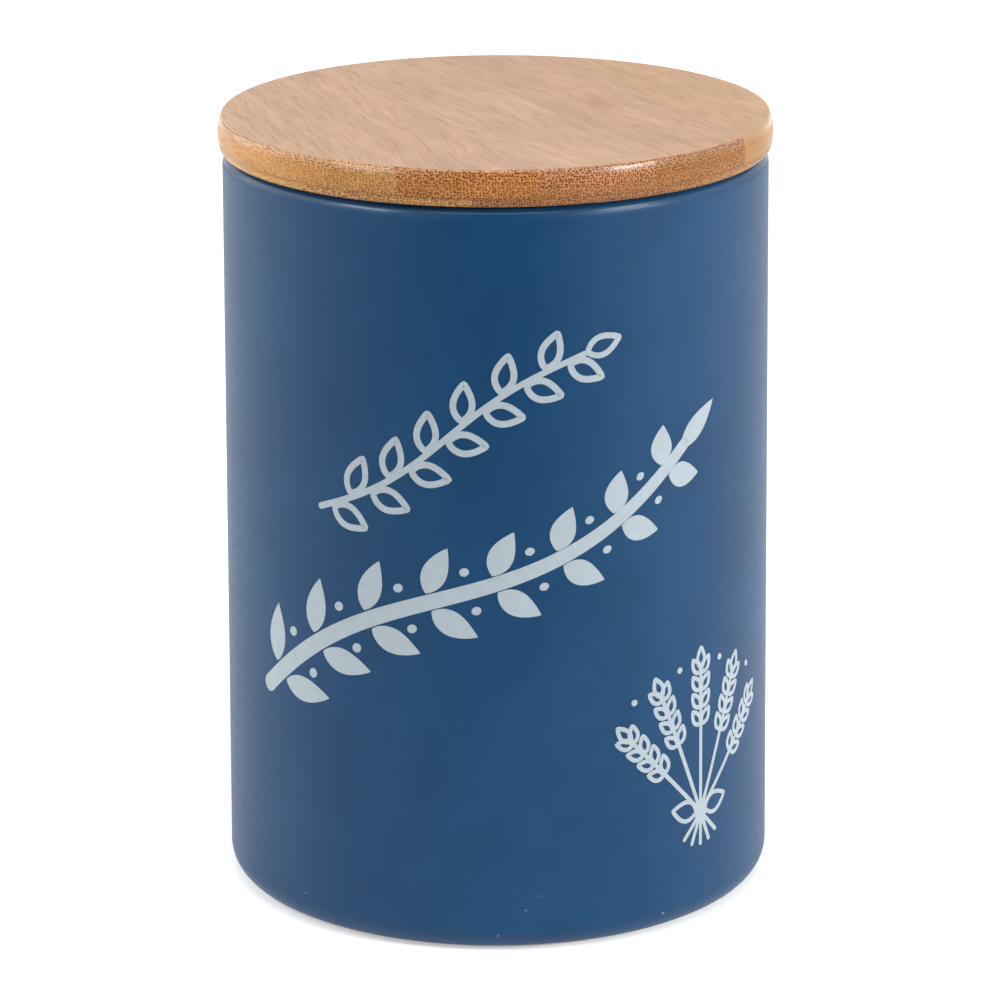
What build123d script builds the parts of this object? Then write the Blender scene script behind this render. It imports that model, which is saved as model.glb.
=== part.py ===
"""Biscuit jar: a stoneware jar, a lid turned from laminated bamboo board, and a lipped silicone seal.

Units are millimetres. The jar stands on its foot ring at z = 0 with its axis on +Z, and -Y is its front.
The lid's flange rests on the jar's lip, and its plug hangs in the mouth with the seal in a turned groove.
"""

import math
import os

from build123d import *

# Stoneware jar
jar_height = 143.0
jar_base_diameter = 105.0
jar_lip_diameter = 103.3
wall_thickness = 5.0
floor_thickness = 6.0
base_edge_radius = 5.0
foot_ring_width = 5.0
foot_recess_depth = 1.5
foot_recess_radius = 1.2
lip_outer_radius = 2.6
lip_inner_radius = 1.2
floor_corner_radius = 7.0

# Lid, turned from a board of glued bamboo plies
lid_overhang = 0.85
flange_thickness = 7.0
ply_thickness = 5.3
ply_names = ["top", "core", "base"]
rim_crown = 0.7
flange_top_radius = 0.8
flange_bottom_radius = 1.3
plug_clearance = 1.6
plug_edge_radius = 1.0

# Bamboo strips: each ply is a blank of equal strips, glued side by side and wider than the lid that is
# turned from it. The lid's axis is a little off the blank's middle, and the core ply is half a strip over.
strip_count = 5
turning_allowance = 4.0
blank_offset = -2.4
narrowest_strip = 3.0
grain_angle = 24.0

# Seal groove and silicone seal
groove_height = 4.4
groove_depth = 2.2
seal_clearance = 0.1
seal_lip_clearance = 0.25
seal_lip_count = 2
seal_lip_thickness = 0.7
seal_lip_rise = 0.7
seal_band_inset = 0.3

# Places worked out from the sizes above
jar_base_radius = jar_base_diameter / 2
jar_lip_radius = jar_lip_diameter / 2
mouth_radius = jar_lip_radius - wall_thickness
inner_base_radius = jar_base_radius - wall_thickness
foot_outer_radius = jar_base_radius - base_edge_radius
foot_inner_radius = foot_outer_radius - foot_ring_width
lid_radius = jar_lip_radius + lid_overhang
blank_width = 2 * (lid_radius + turning_allowance)
strip_width = blank_width / strip_count
lid_top = jar_height + flange_thickness
plug_radius = mouth_radius - plug_clearance
plug_bottom = lid_top - ply_thickness * len(ply_names)
groove_top = (jar_height + plug_bottom + groove_height) / 2
groove_bottom = groove_top - groove_height
groove_radius = plug_radius - groove_depth

os.makedirs("parts", exist_ok=True)


def write_part(shape, name):
    """Labels a finished piece and writes it as its own STEP file."""
    shape.label = name
    export_step(shape, f"parts/{name}.step")


def corner(sketch, point):
    """The vertex of a sketch that lies at a point of its profile, in the sketch's own X and Y."""
    return sketch.vertices().sort_by_distance(Vector(*point, 0))[0]


# Jar: a slip-cast wall of even thickness that rounds under into a low foot ring
base_corner = (jar_base_radius, 0)
recess_corner = (foot_inner_radius, foot_recess_depth)
lip_outside = (jar_lip_radius, jar_height)
lip_inside = (mouth_radius, jar_height)
floor_corner = (inner_base_radius, floor_thickness)

with BuildPart() as jar_body:
    with BuildSketch(Plane.XZ) as jar_section:
        with BuildLine():
            Polyline(
                (0, foot_recess_depth),
                recess_corner,
                (foot_inner_radius, 0),
                base_corner,
                lip_outside,
                lip_inside,
                floor_corner,
                (0, floor_thickness),
                close=True,
            )
        make_face()
        fillet(corner(jar_section, base_corner), radius=base_edge_radius)
        fillet(corner(jar_section, recess_corner), radius=foot_recess_radius)
        fillet(corner(jar_section, lip_outside), radius=lip_outer_radius)
        fillet(corner(jar_section, lip_inside), radius=lip_inner_radius)
        fillet(corner(jar_section, floor_corner), radius=floor_corner_radius)
    revolve(axis=Axis.Z)

write_part(jar_body.part, "jar_body")

# Turned lid: flange, plug and seal groove in one section, before it is divided into its strips. The rim
# is gently crowned, widest half way up the flange.
flange_top_corner = (lid_radius - rim_crown, lid_top)
rim_middle = (lid_radius, jar_height + flange_thickness / 2)
flange_bottom_corner = (lid_radius - rim_crown, jar_height)
plug_corner = (plug_radius, plug_bottom)

with BuildPart() as turned_lid:
    with BuildSketch(Plane.XZ) as lid_section:
        with BuildLine():
            ThreePointArc(flange_top_corner, rim_middle, flange_bottom_corner)
            Polyline(
                flange_bottom_corner,
                (plug_radius, jar_height),
                (plug_radius, groove_top),
                (groove_radius, groove_top),
                (groove_radius, groove_bottom),
                (plug_radius, groove_bottom),
                plug_corner,
                (0, plug_bottom),
                (0, lid_top),
                flange_top_corner,
            )
        make_face()
        fillet(corner(lid_section, flange_top_corner), radius=flange_top_radius)
        fillet(corner(lid_section, flange_bottom_corner), radius=flange_bottom_radius)
        fillet(corner(lid_section, plug_corner), radius=plug_edge_radius)
    revolve(axis=Axis.Z)

across_grain = Vector(math.cos(math.radians(grain_angle)), math.sin(math.radians(grain_angle)), 0)


def glue_joints(ply_radius, stagger):
    """How far across the grain from the lid's axis each glue joint of one ply stands."""
    blank_start = blank_offset - blank_width / 2
    joints = [blank_start + stagger + strip_width * step for step in range(strip_count + 1)]
    return [joint for joint in joints if abs(joint) < ply_radius - narrowest_strip]


def joint_plane(offset):
    """The upright plane of one glue joint. It runs along the grain and faces across it."""
    return Plane(origin=across_grain * offset, z_dir=across_grain)


for ply_index, ply_name in enumerate(ply_names):
    ply_bottom = Plane.XY.offset(lid_top - ply_thickness * (ply_index + 1))
    ply_top = ply_bottom.offset(ply_thickness)
    ply_radius = lid_radius if ply_top.origin.Z > jar_height else plug_radius
    joints = glue_joints(ply_radius, strip_width / 2 if ply_name == "core" else 0)
    for number in range(len(joints) + 1):
        with BuildPart() as strip:
            add(turned_lid.part)
            if ply_index > 0:
                split(bisect_by=ply_top, keep=Keep.BOTTOM)
            if ply_index < len(ply_names) - 1:
                split(bisect_by=ply_bottom, keep=Keep.TOP)
            if number > 0:
                split(bisect_by=joint_plane(joints[number - 1]), keep=Keep.TOP)
            if number < len(joints):
                split(bisect_by=joint_plane(joints[number]), keep=Keep.BOTTOM)
        write_part(strip.part, f"lid_{ply_name}_strip_{number + 1}")

# Seal: a band that sits in the groove, with thin lips that rise as they reach out to the mouth's wall
band_inner_radius = groove_radius + seal_clearance
band_outer_radius = plug_radius - seal_band_inset
band_bottom = groove_bottom + seal_clearance
band_height = groove_height - 2 * seal_clearance
lip_tip_radius = mouth_radius - seal_lip_clearance
lip_pitch = band_height / seal_lip_count

with BuildPart() as seal_ring:
    with BuildSketch(Plane.XZ) as band_section:
        with Locations((band_inner_radius, band_bottom)):
            Rectangle(band_outer_radius - band_inner_radius, band_height, align=Align.MIN)
        for lip in range(seal_lip_count):
            root = band_bottom + lip_pitch * (lip + 0.5) - seal_lip_thickness / 2
            with BuildLine():
                Polyline(
                    (band_inner_radius, root - seal_lip_thickness / 2),
                    (band_outer_radius, root - seal_lip_thickness / 2),
                    (lip_tip_radius, root + seal_lip_rise),
                    (lip_tip_radius, root + seal_lip_rise + seal_lip_thickness / 2),
                    (band_outer_radius, root + seal_lip_thickness),
                    (band_inner_radius, root + seal_lip_thickness),
                    close=True,
                )
            make_face()
    revolve(axis=Axis.Z)

write_part(seal_ring.part, "seal_ring")
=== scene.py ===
"""Finishes, print and studio for a blue stoneware biscuit jar with a laminated bamboo lid.

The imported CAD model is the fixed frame: +Z up, -Y the front, metres. Values that end in _mm are in
millimetres. The jar, the lid's strips and the seal stay the CAD solids and get their finishes here. The
print on the jar's front is a transfer of pale enamel, made here as a thin film that follows the wall.
"""

import logging
import math
from dataclasses import dataclass
from enum import Enum
from typing import Any

import bpy
from mathutils import Matrix, Vector


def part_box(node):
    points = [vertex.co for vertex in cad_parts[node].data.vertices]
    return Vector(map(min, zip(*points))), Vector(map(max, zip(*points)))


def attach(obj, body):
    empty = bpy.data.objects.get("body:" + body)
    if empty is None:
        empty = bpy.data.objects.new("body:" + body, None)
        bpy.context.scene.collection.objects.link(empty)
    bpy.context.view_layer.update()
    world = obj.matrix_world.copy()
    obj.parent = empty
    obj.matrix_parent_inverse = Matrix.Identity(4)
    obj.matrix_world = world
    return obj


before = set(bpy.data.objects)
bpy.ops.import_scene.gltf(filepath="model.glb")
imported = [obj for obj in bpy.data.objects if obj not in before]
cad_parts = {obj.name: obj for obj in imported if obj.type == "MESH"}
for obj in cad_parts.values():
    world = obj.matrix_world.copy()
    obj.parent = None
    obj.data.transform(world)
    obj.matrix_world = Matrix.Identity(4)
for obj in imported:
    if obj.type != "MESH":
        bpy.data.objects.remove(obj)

Tree = bpy.types.NodeTree
MATH, VECTOR_MATH = "ShaderNodeMath", "ShaderNodeVectorMath"
MAP_RANGE, MIX = "ShaderNodeMapRange", "ShaderNodeMix"
MM = 0.001
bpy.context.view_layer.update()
MIX_FACTOR, MIX_A, MIX_B, MIX_OUT = 0, 6, 7, 2  # sockets of a Mix node set to colours
LAYER_MM = 0.0006  # height of one stroke of the print over the stroke before it
log = logging.getLogger("biscuit_jar")


def linear(hex_colour: str) -> tuple[float, float, float, float]:
    """Turns an sRGB colour into the linear colour that a shader takes.

    Args:
        hex_colour: Six hexadecimal digits after a number sign.

    Returns:
        Linear red, green and blue, and an alpha of one.
    """
    channels = [int(hex_colour[start : start + 2], 16) / 255 for start in (1, 3, 5)]
    parts = [c / 12.92 if c <= 0.04045 else ((c + 0.055) / 1.055) ** 2.4 for c in channels]
    return (*parts, 1.0)


def add_node(tree: Tree, kind: str, inputs: dict | None = None, out: Any = 0, **settings: Any) -> Any:
    """Adds a node with its settings, values and links.

    Args:
        tree: Node tree that takes the node.
        kind: Blender's name for the type of node.
        inputs: A value, or a socket to link, for each input, by its name or number.
        out: Name or number of the output that is wanted.
        settings: Properties of the node, such as its operation.

    Returns:
        The output socket, or the node itself where it has no outputs.
    """
    node = tree.nodes.new(kind)
    for name, value in settings.items():
        setattr(node, name, value)
    for key, value in (inputs or {}).items():
        if isinstance(value, bpy.types.NodeSocket):
            tree.links.new(value, node.inputs[key])
        else:
            node.inputs[key].default_value = value
    return node.outputs[out] if node.outputs else node


def new_material(name: str) -> tuple[bpy.types.Material, Tree]:
    """Makes an empty node material.

    Args:
        name: The finish's common name.

    Returns:
        The material and its node tree.
    """
    material = bpy.data.materials.new(name)
    material.use_nodes = True
    material.node_tree.nodes.clear()
    return material, material.node_tree


def dress(node_name: str, material: bpy.types.Material) -> None:
    """Gives a CAD node one material all over.

    Args:
        node_name: Name of the CAD node.
        material: Its new finish.
    """
    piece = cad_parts[node_name]
    for material_slot in piece.material_slots:
        material_slot.material = material
    log.info("%s: %s", node_name, material.name)


# ---------------------------------------------------------------------------------------------------
# Finishes


@dataclass(frozen=True)
class StonewareGlaze:
    """Slip-cast stoneware, sprayed with a matt cobalt glaze outside and dipped in a clear one inside.

    The matt glaze scatters what it reflects, so the wall looks dry from the front and pales towards its
    edges as if it had a veil of dust. The glaze runs thin over the lip and fires glossier there. The foot
    ring is wiped before the firing, so it shows the bare buff clay. speck_edge holds the radii at which a
    speck has faded out and is solid, over the specks' pitch.
    """

    matt_hex: str = "#08385D"
    cloud_hex: str = "#0B3E64"
    inside_hex: str = "#E9E5DA"
    clay_hex: str = "#C9BBA3"
    speck_hex: str = "#9FB2BE"
    matt_roughness: tuple[float, float] = (0.42, 0.50)
    inside_roughness: float = 0.14
    clay_roughness: float = 0.85
    specular_level: float = 0.25
    veil_weight: float = 0.07
    veil_roughness: float = 0.45
    veil_hex: str = "#C8DCFF"
    mirror_tint_hex: str = "#E8F4FF"
    lip_height_mm: float = 141.1
    lip_blend_mm: float = 0.5
    lip_roughness: float = 0.22
    lip_specular: float = 0.38
    inside_radius_mm: float = 48.3
    inside_blend_mm: float = 0.15
    inside_floor_mm: float = 3.0
    inside_specular: float = 0.5
    bare_below_mm: float = 0.55
    glazed_from_mm: float = 0.70
    wipe_wander_mm: float = 0.5
    cloud_size_mm: float = 16.0
    cloud_relief_mm: float = 0.05
    tooth_size_mm: float = 0.9  # the glaze's own grain is finer than shows, so it is drawn this coarse
    tooth_relief_mm: float = 0.02
    speck_pitch_mm: float = 2.6
    speck_top_mm: float = 14.0
    speck_rarity: float = 0.86
    speck_edge: tuple[float, float] = (0.13, 0.07)
    speck_strength: float = 0.5

    def material(self) -> bpy.types.Material:
        """Builds the jar's one material, with a mask for each of its three surfaces.

        Returns:
            The material of the whole body.
        """
        material, tree = new_material("stoneware_matt_cobalt_glaze")
        place = add_node(tree, "ShaderNodeTexCoord", out="Object")
        place = add_node(tree, VECTOR_MATH, {0: place, "Scale": 1 / MM}, operation="SCALE")
        height = add_node(tree, "ShaderNodeSeparateXYZ", {0: place}, out="Z")
        level = add_node(tree, VECTOR_MATH, {0: place, 1: (1, 1, 0)}, operation="MULTIPLY")
        radius = add_node(tree, VECTOR_MATH, {0: level}, out="Value", operation="LENGTH")

        clouds = add_node(tree, "ShaderNodeTexNoise",
                          {"Vector": place, "Scale": 1 / self.cloud_size_mm, "Detail": 3.0})
        tooth = add_node(tree, "ShaderNodeTexNoise",
                         {"Vector": place, "Scale": 1 / self.tooth_size_mm, "Detail": 2.0})
        cloudy = add_node(tree, MAP_RANGE, {0: clouds, 1: 0.35, 2: 0.65})
        colour = add_node(tree, MIX, {MIX_FACTOR: cloudy, MIX_A: linear(self.matt_hex),
                                      MIX_B: linear(self.cloud_hex)}, MIX_OUT, data_type="RGBA")
        colour = self.specks(tree, place, height, colour)

        inside = add_node(tree, MAP_RANGE, {0: radius, 1: self.inside_radius_mm + self.inside_blend_mm,
                                            2: self.inside_radius_mm - self.inside_blend_mm})
        above_floor = add_node(tree, MATH, {0: height, 1: self.inside_floor_mm}, operation="GREATER_THAN")
        inside = add_node(tree, MATH, {0: inside, 1: above_floor}, operation="MULTIPLY")
        edge = add_node(tree, MATH, {0: clouds, 1: self.wipe_wander_mm, 2: height}, operation="MULTIPLY_ADD")
        wiped = add_node(tree, MAP_RANGE, {0: edge, 1: self.glazed_from_mm, 2: self.bare_below_mm})
        for mask, hex_colour in ((inside, self.inside_hex), (wiped, self.clay_hex)):
            colour = add_node(tree, MIX, {MIX_FACTOR: mask, MIX_A: colour, MIX_B: linear(hex_colour)},
                              MIX_OUT, data_type="RGBA")

        matt = add_node(tree, MAP_RANGE, {0: tooth, 1: 0.3, 2: 0.7, 3: self.matt_roughness[0],
                                          4: self.matt_roughness[1]})
        lip = add_node(tree, MAP_RANGE,
                       {0: height, 1: self.lip_height_mm, 2: self.lip_height_mm + self.lip_blend_mm})
        matt = add_node(tree, MAP_RANGE, {0: lip, 3: matt, 4: self.lip_roughness})
        gloss = add_node(tree, MAP_RANGE, {0: lip, 3: self.specular_level, 4: self.lip_specular})
        gloss = add_node(tree, MAP_RANGE, {0: inside, 3: gloss, 4: self.inside_specular})
        rough = add_node(tree, MAP_RANGE, {0: inside, 3: matt, 4: self.inside_roughness})
        rough = add_node(tree, MAP_RANGE, {0: wiped, 3: rough, 4: self.clay_roughness})
        dry = add_node(tree, MATH, {0: 1.0, 1: inside}, operation="SUBTRACT")
        veil = add_node(tree, MATH, {0: dry, 1: self.veil_weight}, operation="MULTIPLY")
        relief = add_node(tree, MATH, {0: tooth, 1: dry}, operation="MULTIPLY")
        normal = add_node(tree, "ShaderNodeBump",
                          {"Strength": 0.35, "Distance": self.tooth_relief_mm * MM, "Height": relief})
        normal = add_node(tree, "ShaderNodeBump", {"Strength": 0.5, "Distance": self.cloud_relief_mm * MM,
                                                   "Height": clouds, "Normal": normal})
        shader = add_node(tree, "ShaderNodeBsdfPrincipled",
                          {"Base Color": colour, "Roughness": rough, "Normal": normal, "IOR": 1.5,
                           "Specular IOR Level": gloss, "Specular Tint": linear(self.mirror_tint_hex),
                           "Sheen Weight": veil, "Sheen Roughness": self.veil_roughness,
                           "Sheen Tint": linear(self.veil_hex)})
        add_node(tree, "ShaderNodeOutputMaterial", {"Surface": shader})
        return material

    def specks(self, tree: Tree, place: Any, height: Any, colour: Any) -> Any:
        """Adds a few pale kiln specks to the glaze near the foot.

        Args:
            tree: The glaze's node tree.
            place: Position in millimetres.
            height: Height above the shelf in millimetres.
            colour: Colour of the glaze without specks.

        Returns:
            The colour with specks.
        """
        cell = {"Vector": place, "Scale": 1 / self.speck_pitch_mm}
        distance = add_node(tree, "ShaderNodeTexVoronoi", cell)
        pick = add_node(tree, "ShaderNodeTexVoronoi", cell, out="Color")
        pick = add_node(tree, "ShaderNodeSeparateColor", {0: pick})
        chosen = add_node(tree, MATH, {0: pick, 1: self.speck_rarity}, operation="GREATER_THAN")
        low = add_node(tree, MAP_RANGE, {0: height, 1: self.speck_top_mm, 2: 0.3 * self.speck_top_mm})
        faded, solid = self.speck_edge
        mask = add_node(tree, MAP_RANGE, {0: distance, 1: faded, 2: solid, 4: self.speck_strength})
        mask = add_node(tree, MATH, {0: mask, 1: chosen}, operation="MULTIPLY")
        mask = add_node(tree, MATH, {0: mask, 1: low}, operation="MULTIPLY")
        return add_node(tree, MIX, {MIX_FACTOR: mask, MIX_A: colour, MIX_B: linear(self.speck_hex)},
                        MIX_OUT, data_type="RGBA")


@dataclass(frozen=True)
class StripTone:
    """What tells one bamboo strip from the next.

    bundles is how strongly its fibre bundles show. dense_from is the share of the ply's height above
    which they are large and dark. slant is how far the fibres stray across the strip for each millimetre
    along it. stain_mm is the place of a brown growth mark, across and along the grain, if there is one.
    """

    face_hex: str
    end_hex: str
    bundles: float
    dense_from: float
    slant: float = 0.0
    stain_mm: tuple[float, float] | None = None


@dataclass(frozen=True)
class BambooStrip:
    """One strip of carbonised bamboo in the lid's board, planed, glued, turned and lacquered.

    Bamboo is straight fibre bundles in a paler ground. They show as dark dots where the turned rim cuts
    them across, and the planed faces that run with the grain have short soft flecks. Satin lacquer lies
    over both, and sinks into the open ends of the bundles.

    A dot holds the radii at which a bundle has faded out and is solid, over the bundles' pitch. A glue
    line holds its half width in millimetres and its strength. face_rise, rim_rise and pool_rise say how
    steeply the surface lies: the Z of its normal, which is 1 on the flat top and 0 on an upright rim.
    """

    ply_bottom_mm: float
    ply_top_mm: float
    glue_heights_mm: tuple[float, ...]
    joints_mm: tuple[float, ...]
    seed: int
    tone: StripTone
    bundle_hex: str = "#4C1C04"
    fleck_hex: str = "#946034"
    glue_hex: str = "#6B3F33"
    stain_hex: str = "#8A5A34"
    coarse_pitch_mm: float = 0.50
    coarse_dot: tuple[float, float] = (0.49, 0.23)
    fine_pitch_mm: float = 0.48
    fine_dot: tuple[float, float] = (0.50, 0.18)
    face_dots: float = 0.06
    rim_dots: float = 0.96
    dot_roughness: float = 0.6
    dot_specular: float = 0.04
    fibre_width_mm: float = 0.24  # single fibres are finer than shows, so they are drawn this coarse
    fibre_relief: float = 0.35
    fleck_width_mm: float = 0.50
    fleck_strength: float = 0.42
    band_width_mm: float = 2.4
    cloud_width_mm: float = 9.0
    pore_relief_mm: float = 0.03
    shift_mm: tuple[float, float, float] = (17.3, 61.7, 5.9)  # of the pattern, from strip to strip
    wander_length_mm: float = 26.0
    wander_mm: tuple[float, float, float] = (3.0, 0.0, 1.2)
    stain_size_mm: tuple[float, float] = (3.4, 8.0)
    stain_strength: float = 0.32
    ply_glue: tuple[float, float] = (0.55, 0.42)
    joint_glue: tuple[float, float] = (0.14, 0.28)
    face_rise: float = 0.97
    rim_rise: float = 0.82
    pool_rise: tuple[float, float] = (0.18, 0.32)
    face_roughness: float = 0.58
    face_specular: float = 0.36
    rim_roughness: float = 0.30
    rim_specular: float = 0.12
    pooled_roughness: float = 0.18

    def material(self, name: str, grain_angle: float) -> bpy.types.Material:
        """Builds the strip's material.

        Args:
            name: Name of the strip.
            grain_angle: Angle from +X to the direction across the grain, in radians.

        Returns:
            The strip's own material.
        """
        material, tree = new_material(f"lacquered_bamboo_{name}")
        world = add_node(tree, "ShaderNodeTexCoord", out="Object")
        world = add_node(tree, VECTOR_MATH, {0: world, "Scale": 1 / MM}, operation="SCALE")
        board = add_node(tree, "ShaderNodeVectorRotate", {"Vector": world, "Angle": -grain_angle},
                         rotation_type="Z_AXIS")
        across = add_node(tree, "ShaderNodeSeparateXYZ", {0: board}, out="X")
        height = add_node(tree, "ShaderNodeSeparateXYZ", {0: board}, out="Z")
        shift = tuple(self.seed * step for step in self.shift_mm)
        grain = add_node(tree, VECTOR_MATH, {0: board, 1: shift}, operation="ADD")
        grain = self.wander(tree, self.slanted(tree, grain))
        rim, pooled = self.turned_rim(tree)

        clouds = self.stretched(tree, grain, self.cloud_width_mm, stretch=2.0)
        bands = self.stretched(tree, grain, self.band_width_mm, stretch=9.0)
        flecks = self.stretched(tree, grain, self.fleck_width_mm, stretch=15.0)
        fibres = self.stretched(tree, grain, self.fibre_width_mm, stretch=26.0, detail=1.0)
        colour = add_node(tree, MIX, {MIX_FACTOR: rim, MIX_A: linear(self.tone.face_hex),
                                      MIX_B: linear(self.tone.end_hex)}, MIX_OUT, data_type="RGBA")
        for field, least, most in ((clouds, 0.92, 1.06), (bands, 0.93, 1.06), (fibres, 0.95, 1.05)):
            gain = add_node(tree, MAP_RANGE, {0: field, 1: 0.3, 2: 0.7, 3: least, 4: most})
            colour = add_node(tree, VECTOR_MATH, {0: colour, "Scale": gain}, operation="SCALE")

        dots = self.graded_bundles(tree, grain, height)
        shown = add_node(tree, MAP_RANGE, {0: rim, 3: self.face_dots * self.tone.bundles,
                                           4: self.rim_dots * self.tone.bundles})
        shown = add_node(tree, MATH, {0: shown, 1: dots}, operation="MULTIPLY")
        shown = add_node(tree, MATH, {0: shown, 1: self.cut_across(tree, grain_angle)}, operation="MULTIPLY")
        flecked = add_node(tree, MAP_RANGE, {0: flecks, 1: 0.50, 2: 0.72, 4: self.fleck_strength})
        coats = [(flecked, self.fleck_hex), (shown, self.bundle_hex),
                 (self.glue_lines(tree, across, height, clouds), self.glue_hex)]
        if self.tone.stain_mm:
            coats.append((self.stain(tree, board, flecks), self.stain_hex))
        for mask, hex_colour in coats:
            colour = add_node(tree, MIX, {MIX_FACTOR: mask, MIX_A: colour, MIX_B: linear(hex_colour)},
                              MIX_OUT, data_type="RGBA")

        rough = add_node(tree, MAP_RANGE, {0: rim, 3: self.face_roughness, 4: self.rim_roughness})
        rough = add_node(tree, MAP_RANGE, {0: shown, 3: rough, 4: self.dot_roughness})
        gloss = add_node(tree, MAP_RANGE, {0: rim, 3: self.face_specular, 4: self.rim_specular})
        gloss = add_node(tree, MAP_RANGE, {0: shown, 3: gloss, 4: self.dot_specular})
        pores = add_node(tree, MATH, {0: fibres, 1: self.fibre_relief}, operation="MULTIPLY")
        pores = add_node(tree, MATH, {0: pores, 1: shown}, operation="SUBTRACT")
        normal = add_node(tree, "ShaderNodeBump",
                          {"Strength": 0.8, "Distance": self.pore_relief_mm * MM, "Height": pores})
        shader = add_node(tree, "ShaderNodeBsdfPrincipled",
                          {"Base Color": colour, "Roughness": rough, "Normal": normal, "IOR": 1.5,
                           "Specular IOR Level": gloss, "Coat Weight": pooled,
                           "Coat Roughness": self.pooled_roughness})
        add_node(tree, "ShaderNodeOutputMaterial", {"Surface": shader})
        return material

    def slanted(self, tree: Tree, grain: Any) -> Any:
        """Lets the fibres stray across the strip at its own slant.

        Args:
            tree: The strip's node tree.
            grain: Position across, along and up, in millimetres.

        Returns:
            The position with the slant.
        """
        along = add_node(tree, "ShaderNodeSeparateXYZ", {0: grain}, "Y")
        aside = add_node(tree, MATH, {0: along, 1: self.tone.slant}, operation="MULTIPLY")
        aside = add_node(tree, "ShaderNodeCombineXYZ", {0: aside})
        return add_node(tree, VECTOR_MATH, {0: grain, 1: aside}, operation="ADD")

    def cut_across(self, tree: Tree, grain_angle: float) -> Any:
        """Tells how squarely the surface cuts the bundles, which are faint where it runs along them.

        Args:
            tree: The strip's node tree.
            grain_angle: Angle from +X to the direction across the grain, in radians.

        Returns:
            A factor for the bundles' strength.
        """
        facing = add_node(tree, "ShaderNodeTexCoord", out="Normal")
        along = (-math.sin(grain_angle), math.cos(grain_angle), 0.0)
        squarely = add_node(tree, VECTOR_MATH, {0: facing, 1: along}, "Value", operation="DOT_PRODUCT")
        squarely = add_node(tree, MATH, {0: squarely}, operation="ABSOLUTE")
        level = add_node(tree, "ShaderNodeSeparateXYZ", {0: facing}, out="Z")
        level = add_node(tree, MATH, {0: level}, operation="ABSOLUTE")
        squarely = add_node(tree, MATH, {0: squarely, 1: level}, operation="ADD")
        return add_node(tree, MAP_RANGE, {0: squarely, 1: 0.15, 2: 0.75, 3: 0.2, 4: 1.0})

    def wander(self, tree: Tree, grain: Any) -> Any:
        """Lets the bundles wander a little sideways along the strip.

        Args:
            tree: The strip's node tree.
            grain: Position across, along and up, in millimetres.

        Returns:
            The position with the wander.
        """
        bend = add_node(tree, "ShaderNodeTexNoise",
                        {"Vector": grain, "Scale": 1 / self.wander_length_mm, "Detail": 1.5}, "Color")
        bend = add_node(tree, VECTOR_MATH, {0: bend, 1: (0.5, 0.5, 0.5)}, operation="SUBTRACT")
        bend = add_node(tree, VECTOR_MATH, {0: bend, 1: self.wander_mm}, operation="MULTIPLY")
        return add_node(tree, VECTOR_MATH, {0: grain, 1: bend}, operation="ADD")

    def turned_rim(self, tree: Tree) -> tuple[Any, Any]:
        """Tells the turned rim from the planed faces, and its rounded upper edge from the rest of it.

        Args:
            tree: The strip's node tree.

        Returns:
            A mask from 0 on a level face to 1 where the surface stands upright, and a mask of the upper
            edge, where the lacquer pools.
        """
        facing = add_node(tree, "ShaderNodeTexCoord", out="Normal")
        rise = add_node(tree, "ShaderNodeSeparateXYZ", {0: facing}, out="Z")
        level = add_node(tree, MATH, {0: rise}, operation="ABSOLUTE")
        rim = add_node(tree, MAP_RANGE, {0: level, 1: self.face_rise, 2: self.rim_rise},
                       interpolation_type="SMOOTHSTEP")
        pooled = add_node(tree, MAP_RANGE, {0: rise, 1: self.pool_rise[0], 2: self.pool_rise[1]})
        return rim, add_node(tree, MATH, {0: rim, 1: pooled}, operation="MULTIPLY")

    def stretched(self, tree: Tree, grain: Any, width: float, stretch: float, detail: float = 2.0) -> Any:
        """Makes a noise that is drawn out along the grain.

        Args:
            tree: The strip's node tree.
            grain: Position across, along and up, in millimetres.
            width: Width of one streak in millimetres.
            stretch: Length of a streak over its width.
            detail: Octaves of finer noise.

        Returns:
            The noise, about 0.5 on average.
        """
        scale = (1 / width, 1 / (width * stretch), 1 / width)
        squeezed = add_node(tree, VECTOR_MATH, {0: grain, 1: scale}, operation="MULTIPLY")
        return add_node(tree, "ShaderNodeTexNoise", {"Vector": squeezed, "Scale": 1.0, "Detail": detail})

    def bundles(self, tree: Tree, grain: Any, pitch: float, reach: float, core: float) -> Any:
        """Marks the fibre bundles.

        Args:
            tree: The strip's node tree.
            grain: Position across, along and up, in millimetres.
            pitch: Distance between bundles in millimetres.
            reach: Radius at which a bundle has faded out, over the pitch.
            core: Radius of its solid core, over the pitch.

        Returns:
            A mask of the bundles, stronger in some than in others.
        """
        apart = add_node(tree, "ShaderNodeSeparateXYZ", {0: grain}, "X")
        up = add_node(tree, "ShaderNodeSeparateXYZ", {0: grain}, "Z")
        section = add_node(tree, "ShaderNodeCombineXYZ", {0: apart, 1: up})
        cell = {"Vector": section, "Scale": 1 / pitch, "Randomness": 0.7}
        distance = add_node(tree, "ShaderNodeTexVoronoi", cell, voronoi_dimensions="2D")
        lot = add_node(tree, "ShaderNodeTexVoronoi", cell, out="Color", voronoi_dimensions="2D")
        lot = add_node(tree, "ShaderNodeSeparateColor", {0: lot})
        mask = add_node(tree, MAP_RANGE, {0: distance, 1: reach, 2: core}, interpolation_type="SMOOTHSTEP")
        strength = add_node(tree, MAP_RANGE, {0: lot, 3: 0.65, 4: 1.0})
        return add_node(tree, MATH, {0: mask, 1: strength}, operation="MULTIPLY")

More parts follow.
